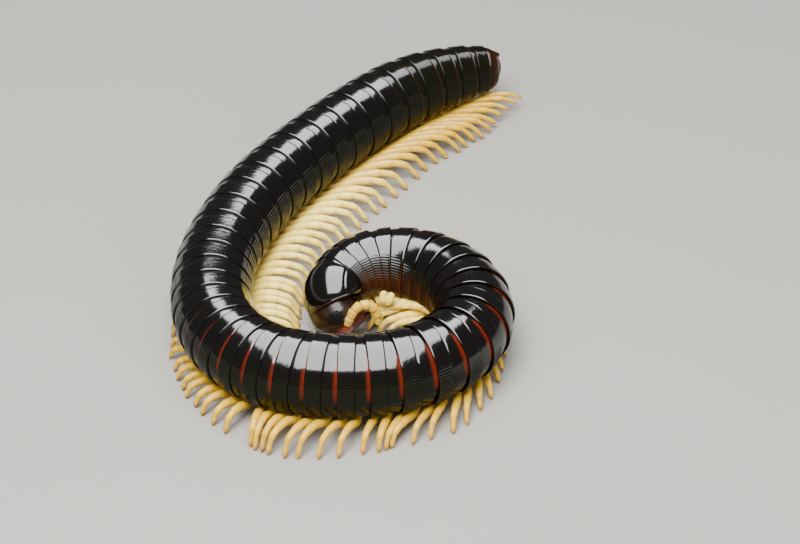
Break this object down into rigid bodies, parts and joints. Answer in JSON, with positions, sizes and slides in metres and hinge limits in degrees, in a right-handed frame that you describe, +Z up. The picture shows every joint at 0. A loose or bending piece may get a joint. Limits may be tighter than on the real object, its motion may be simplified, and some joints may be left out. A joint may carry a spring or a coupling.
{
  "type": "millipede",
  "caption": "Large black millipede with cream legs, life size, resting in a loose spiral with its head tucked into the middle; a still display model.",
  "frame": {"origin": "On the floor under the middle of the whole body, legs included.", "axes": "+Z up from the floor. +Y along the spiral's long side, from the head's loop to the tail. +X to the side on which the tail ends. Seen from -Y the loop with the head is in front."},
  "size_m": [0.0498, 0.0896, 0.0123],
  "materials": {
    "body_shell": "glossy black shell, cream legs",
    "head_shell": "glossy dark red-brown shell",
    "eye": "glossy black",
    "antenna": "satin cream to orange",
    "tail_shell": "satin brown shell"
  },
  "bodies": {
    "root": {"head": "head_shell", "eye_left": "eye", "eye_right": "eye", "antenna_left": "antenna", "antenna_right": "antenna", "collum": "body_shell", "trunk_01": "body_shell", "trunk_02": "body_shell", "trunk_03": "body_shell", "trunk_04": "body_shell", "trunk_05": "body_shell", "trunk_06": "body_shell", "trunk_07": "body_shell", "trunk_08": "body_shell", "trunk_09": "body_shell", "trunk_10": "body_shell", "trunk_11": "body_shell", "trunk_12": "body_shell", "trunk_13": "body_shell", "trunk_14": "body_shell", "trunk_15": "body_shell", "tail_ring": "body_shell", "telson": "tail_shell"}
  },
  "joints": []
}
